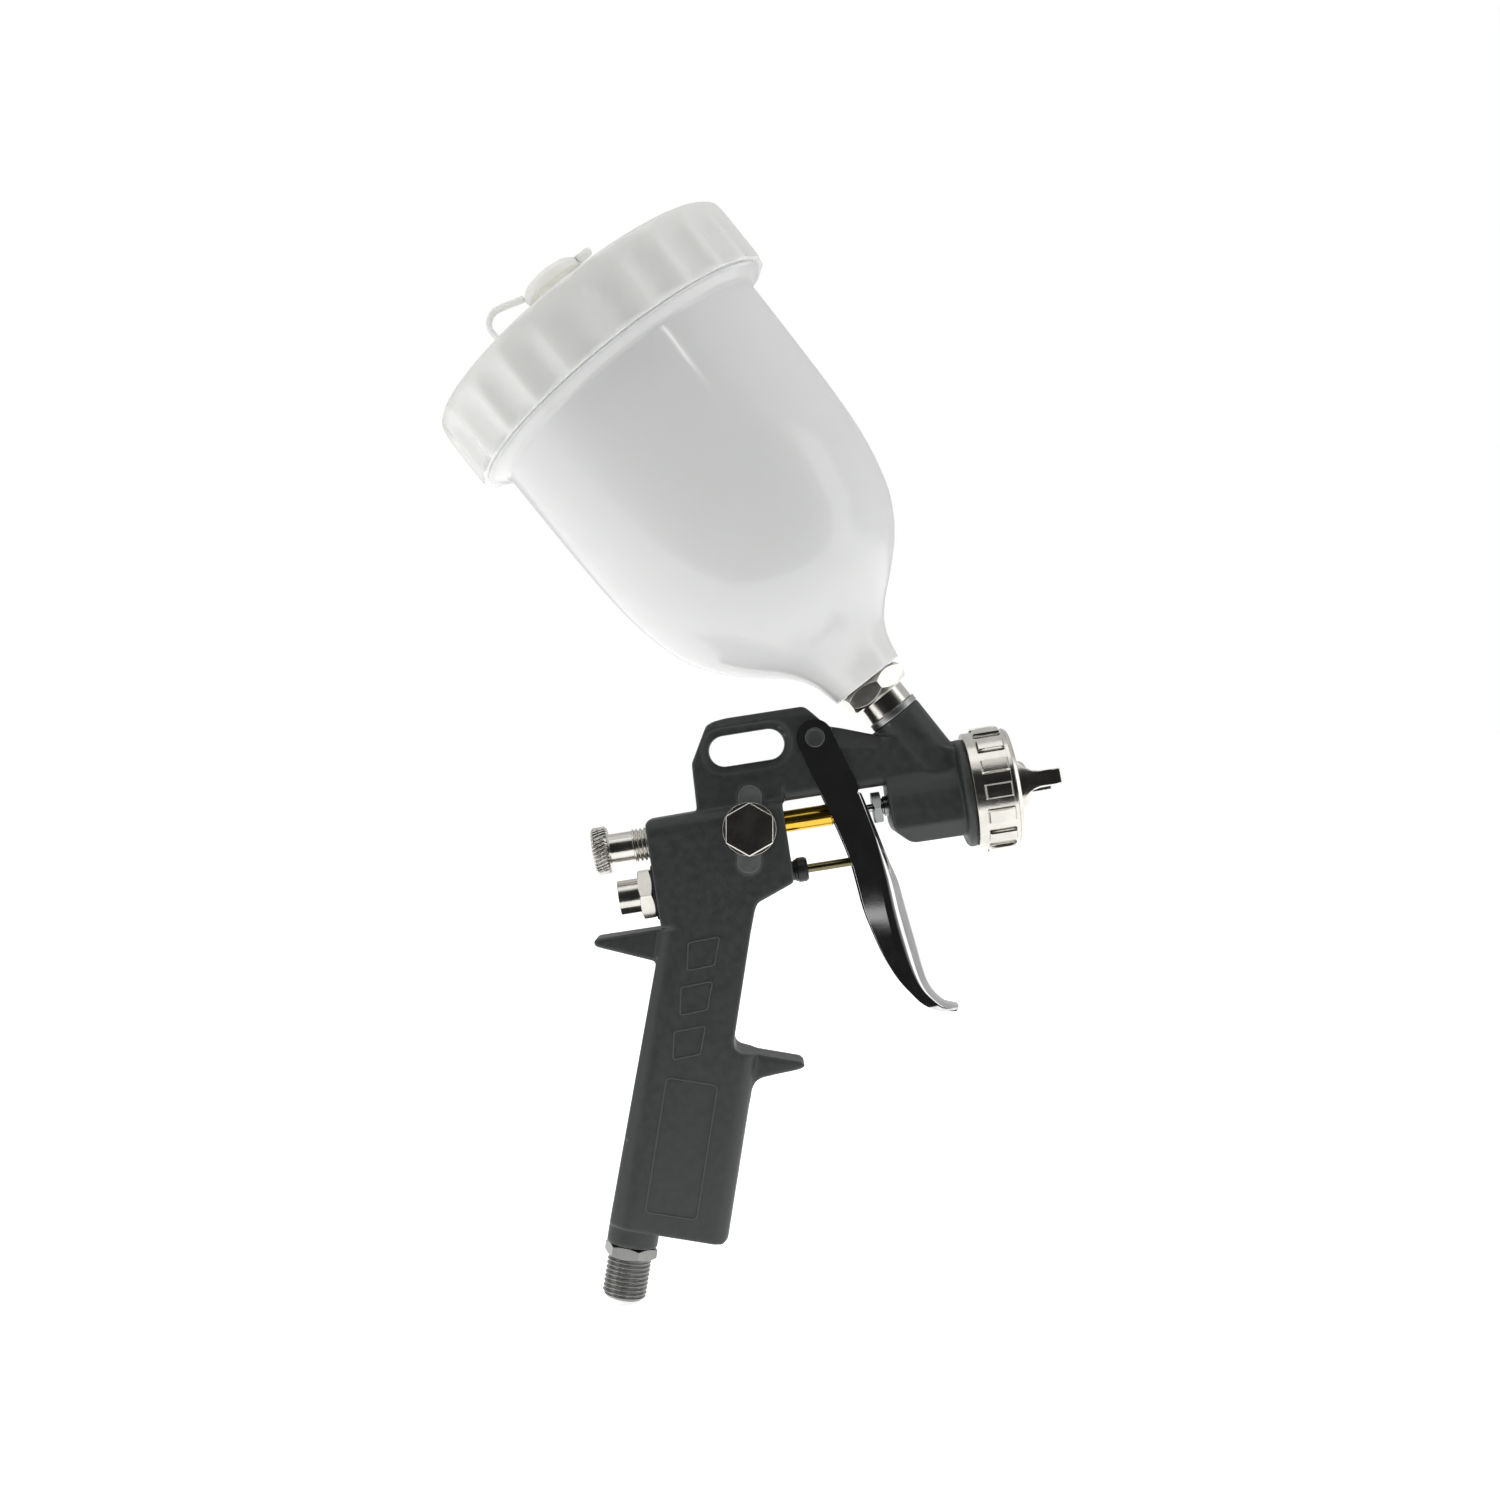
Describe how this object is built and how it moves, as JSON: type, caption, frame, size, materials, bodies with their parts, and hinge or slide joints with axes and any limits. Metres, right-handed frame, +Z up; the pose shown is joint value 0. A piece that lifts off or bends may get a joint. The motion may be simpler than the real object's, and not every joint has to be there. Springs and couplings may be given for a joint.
{
  "type": "gravity-feed spray gun",
  "caption": "Gravity-feed paint spray gun with a tilted translucent cup, pull trigger, fluid and fan knobs, air cap and a threaded air inlet.",
  "frame": {"origin": "on the air inlet thread's axis, halfway along the thread", "axes": "+X is the way the gun sprays, +Z is up with the needle axis level, +Y is the gun's left side"},
  "size_m": [0.1651, 0.107, 0.3191],
  "materials": {
    "cast_body": "fine textured powder coat, semi-matte charcoal",
    "nickel_plate": "nickel plate, lightly brushed",
    "trigger_chrome": "bright chrome plate on stamped steel",
    "dull_steel": "turned, slightly dull",
    "needle_steel": "ground",
    "stem_steel": "ground, oil-tinted",
    "spring_steel": "drawn wire",
    "dark_zinc": "dark zinc plate",
    "pin_grey": "dull grey head, turned",
    "black_oxide": "black oxide, satin",
    "brass": "drawn brass, polished",
    "bare_aluminium": "machined, bare",
    "black_rubber": "matte",
    "ptfe": "waxy white",
    "cup_plastic": "milky translucent polyethylene",
    "lid_plastic": "milky white polyethylene, semi-gloss",
    "vent_plastic": "soft translucent polyethylene"
  },
  "bodies": {
    "gun": {"gun_body": "cast_body", "inlet_fitting": "dull_steel", "air_valve_cap": "nickel_plate", "air_valve_gasket": "black_rubber", "air_valve_spring": "spring_steel", "stem_packing": "ptfe", "stem_gland": "black_oxide", "needle_packing": "ptfe", "needle_packing_nut": "dark_zinc", "needle_spring": "spring_steel", "fan_plug": "nickel_plate", "fan_plug_washer": "black_rubber", "fan_bush": "nickel_plate", "trigger_pin": "pin_grey", "pin_circlip": "black_oxide", "fluid_nozzle": "nickel_plate", "air_baffle": "brass", "cup_connector": "nickel_plate", "neck_washer": "bare_aluminium", "cup_strainer": "cup_plastic", "paint_cup": "cup_plastic", "spring_washer": "spring_steel", "fan_o_ring": "black_rubber"},
    "trigger": {"trigger": "trigger_chrome"},
    "needle": {"fluid_needle": "needle_steel", "needle_sleeve": "brass", "sleeve_nut": "nickel_plate"},
    "air_valve": {"valve_stem": "stem_steel", "valve_poppet": "brass", "valve_seal": "black_rubber"},
    "fluid_knob": {"fluid_knob": "nickel_plate"},
    "fan_knob": {"fan_knob": "nickel_plate", "fan_valve_needle": "needle_steel"},
    "retaining_ring": {"retaining_ring": "nickel_plate"},
    "air_cap": {"air_cap": "nickel_plate"},
    "lid": {"cup_lid": "lid_plastic", "lid_gasket": "ptfe", "vent_strap": "vent_plastic"},
    "vent_plug": {"vent_plug": "vent_plastic"}
  },
  "joints": [
    {"name": "trigger_pull", "type": "hinge", "parent": "gun", "child": "trigger", "pos_m": [0.0806, 0, 0.1506], "axis": [0, 1, 0], "range_deg": [0, 12], "stiffness_Nm_per_rad": 0.8, "springref_deg": -14.32},
    {"name": "needle_travel", "type": "slide", "parent": "gun", "child": "needle", "axis": [-1, 0, 0], "range_m": [0, 0.0052], "stiffness_N_per_m": 600, "springref_m": -0.006, "deforming": ["needle_spring"]},
    {"name": "air_valve_travel", "type": "slide", "parent": "gun", "child": "air_valve", "axis": [-1, 0, 0], "range_m": [0, 0.0084], "stiffness_N_per_m": 500, "springref_m": -0.008, "deforming": ["air_valve_spring"]},
    {"name": "fluid_knob_turn", "type": "hinge", "parent": "gun", "child": "fluid_knob", "pos_m": [0.0173, 0, 0.127], "axis": [-1, 0, 0], "range_deg": [0, 1080]},
    {"name": "fan_knob_turn", "type": "hinge", "parent": "gun", "child": "fan_knob", "pos_m": [0.0573, 0.024, 0.127], "axis": [0, 1, 0], "range_deg": [0, 1080]},
    {"name": "ring_turn", "type": "hinge", "parent": "gun", "child": "retaining_ring", "pos_m": [0.1313, 0, 0.127], "axis": [1, 0, 0], "continuous": true},
    {"name": "air_cap_turn", "type": "hinge", "parent": "gun", "child": "air_cap", "pos_m": [0.1353, 0, 0.127], "axis": [1, 0, 0], "range_deg": [-90, 90]},
    {"name": "lid_lift", "type": "slide", "parent": "gun", "child": "lid", "axis": [-0.4924, 0, 0.8704], "range_m": [0, 0.06]},
    {"name": "vent_plug_lift", "type": "slide", "parent": "lid", "child": "vent_plug", "axis": [-0.4924, 0, 0.8704], "range_m": [0, 0.01]}
  ],
  "couplings": [
    {"joint": "needle_travel", "follows": "trigger_pull", "m_per_rad": 0.0236},
    {"joint": "air_valve_travel", "follows": "trigger_pull", "m_per_rad": 0.0385}
  ]
}
